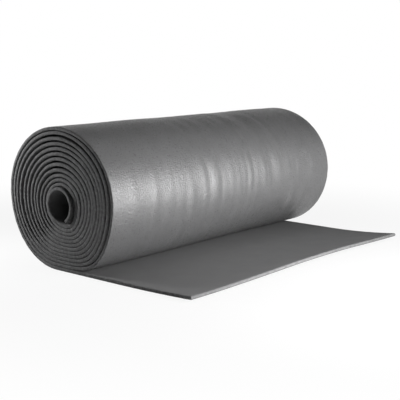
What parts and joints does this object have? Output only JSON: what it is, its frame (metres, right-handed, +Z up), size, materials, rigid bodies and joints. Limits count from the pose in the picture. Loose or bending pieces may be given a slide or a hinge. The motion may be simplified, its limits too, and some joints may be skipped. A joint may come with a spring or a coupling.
{
  "type": "foam insulation roll",
  "caption": "Roll of grey closed-cell foam insulation sheet, loosely wound round an open bore, with its loose end laid flat on the floor.",
  "frame": {"origin": "on the floor under the axis of the bore, halfway along the roll", "axes": "+Y along the bore from the near end to the far end, +X the way the loose end lies, +Z up"},
  "size_m": [0.692, 1, 0.4019],
  "materials": {
    "foam": "satin skin on both faces, matt open cut edges"
  },
  "bodies": {
    "root": {"foam_roll": "foam"}
  },
  "joints": []
}
